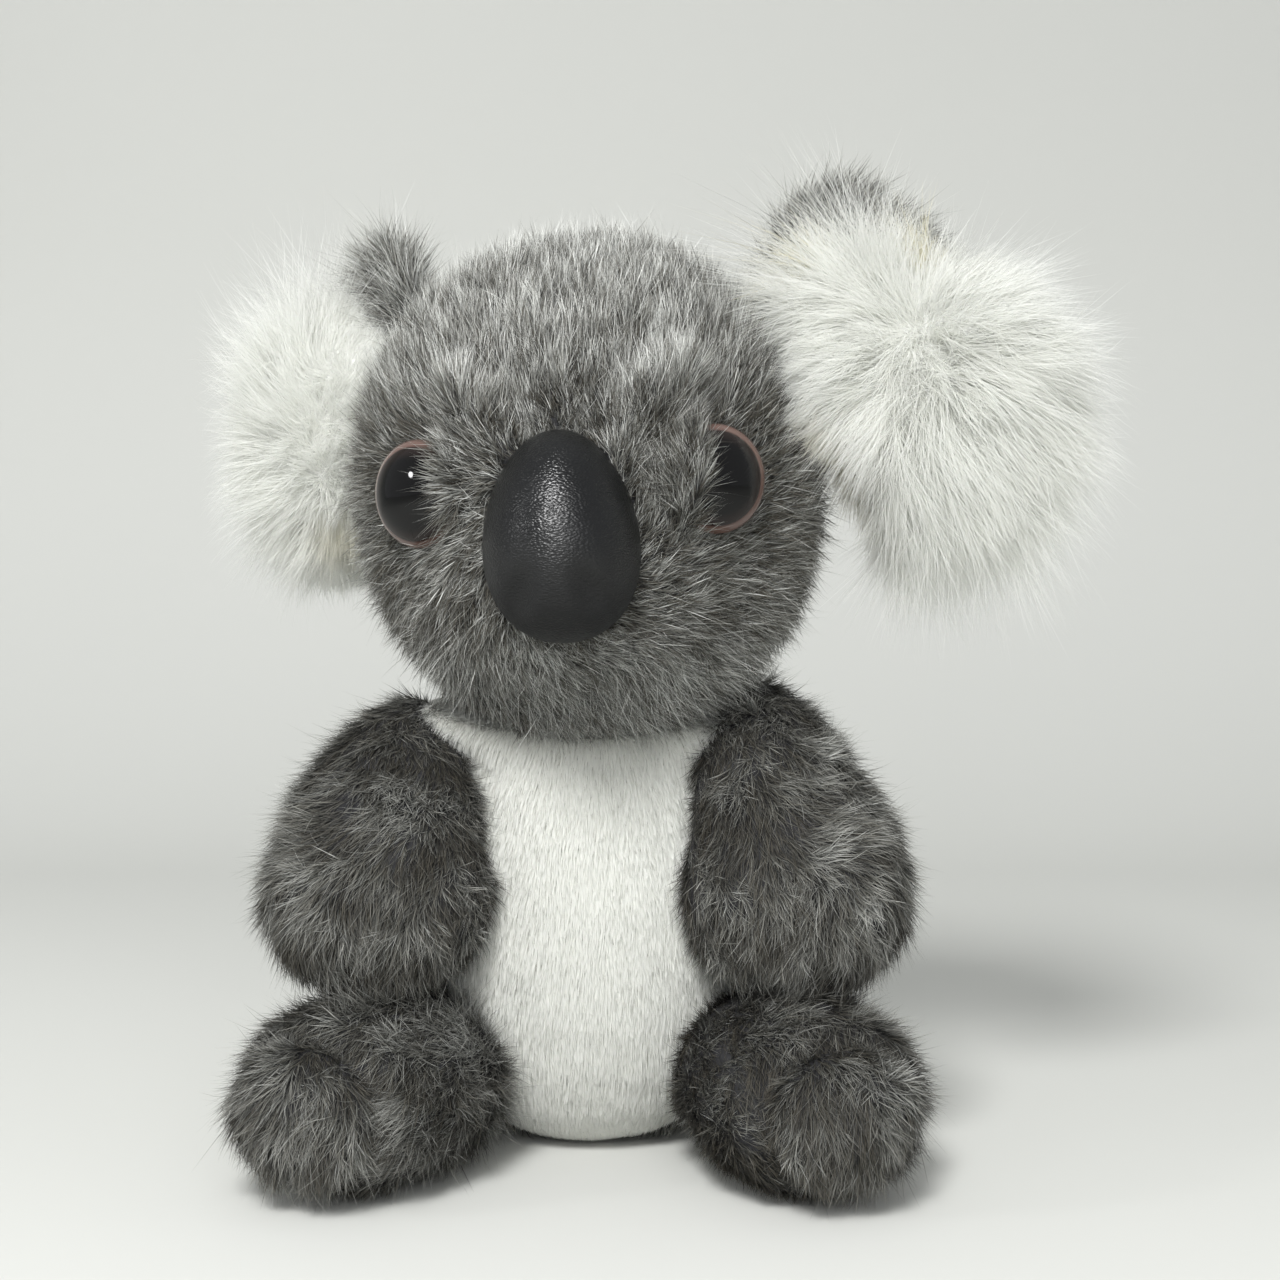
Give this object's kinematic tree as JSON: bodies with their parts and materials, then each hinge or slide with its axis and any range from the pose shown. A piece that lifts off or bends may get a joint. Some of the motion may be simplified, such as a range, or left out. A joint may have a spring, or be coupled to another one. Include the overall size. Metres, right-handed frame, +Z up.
{
  "type": "plush koala",
  "caption": "Sitting plush koala with a stuffed head, body, arms and legs, long white ear tufts, a white belly, domed safety eyes and a large moulded nose.",
  "frame": {"origin": "on the floor, in the middle of the flat seat under the torso", "axes": "+Z up, the face and feet point along -Y, the animal's own left is +X"},
  "size_m": [0.1463, 0.1107, 0.1783],
  "materials": {
    "grey_plush": "tipped grey plush pile, matt",
    "white_plush": "white plush pile, matt",
    "filling": "polyester fibre",
    "nose": "black, fine grain",
    "eye_dome": "clear dome with a brown rim",
    "eye_stem": "black",
    "washer": "natural white"
  },
  "bodies": {
    "torso": {"torso_back": "grey_plush", "torso_belly": "white_plush", "torso_filling": "filling"},
    "head": {"head_cover": "grey_plush", "head_filling": "filling", "nose": "nose", "nose_washer": "washer", "eye_left_dome": "eye_dome", "eye_left_stem": "eye_stem", "eye_left_washer": "washer", "eye_right_dome": "eye_dome", "eye_right_stem": "eye_stem", "eye_right_washer": "washer"},
    "ear_left": {"ear_left_back": "grey_plush", "ear_left_tuft": "white_plush"},
    "ear_right": {"ear_right_back": "grey_plush", "ear_right_tuft": "white_plush"},
    "arm_left": {"arm_left_cover": "grey_plush", "arm_left_filling": "filling"},
    "arm_right": {"arm_right_cover": "grey_plush", "arm_right_filling": "filling"},
    "leg_left": {"leg_left_cover": "grey_plush", "leg_left_filling": "filling"},
    "leg_right": {"leg_right_cover": "grey_plush", "leg_right_filling": "filling"}
  },
  "joints": [
    {"name": "neck", "type": "hinge", "parent": "torso", "child": "head", "pos_m": [0, -0.011, 0.1195], "axis": [0, 0, 1], "range_deg": [-35, 35], "stiffness_Nm_per_rad": 0.03},
    {"name": "ear_left_seam", "type": "hinge", "parent": "head", "child": "ear_left", "pos_m": [0.02855, -0.0135, 0.14593], "axis": [-0.082, 0.0145, 0.9965], "range_deg": [-18, 18], "stiffness_Nm_per_rad": 0.02},
    {"name": "ear_right_seam", "type": "hinge", "parent": "head", "child": "ear_right", "pos_m": [-0.03098, -0.00829, 0.14301], "axis": [-0.0317, -0.0263, 0.9992], "range_deg": [-18, 18], "stiffness_Nm_per_rad": 0.02},
    {"name": "shoulder_left", "type": "hinge", "parent": "torso", "child": "arm_left", "pos_m": [0.0325, -0.007, 0.0725], "axis": [-1, 0, 0], "range_deg": [0, 35], "stiffness_Nm_per_rad": 0.05},
    {"name": "shoulder_right", "type": "hinge", "parent": "torso", "child": "arm_right", "pos_m": [-0.0325, -0.007, 0.0725], "axis": [-1, 0, 0], "range_deg": [0, 35], "stiffness_Nm_per_rad": 0.05},
    {"name": "hip_left", "type": "hinge", "parent": "torso", "child": "leg_left", "pos_m": [0.0285, -0.007, 0.016], "axis": [1, 0, 0], "range_deg": [0, 20], "stiffness_Nm_per_rad": 0.05},
    {"name": "hip_right", "type": "hinge", "parent": "torso", "child": "leg_right", "pos_m": [-0.0255, -0.007, 0.016], "axis": [1, 0, 0], "range_deg": [0, 20], "stiffness_Nm_per_rad": 0.05}
  ]
}
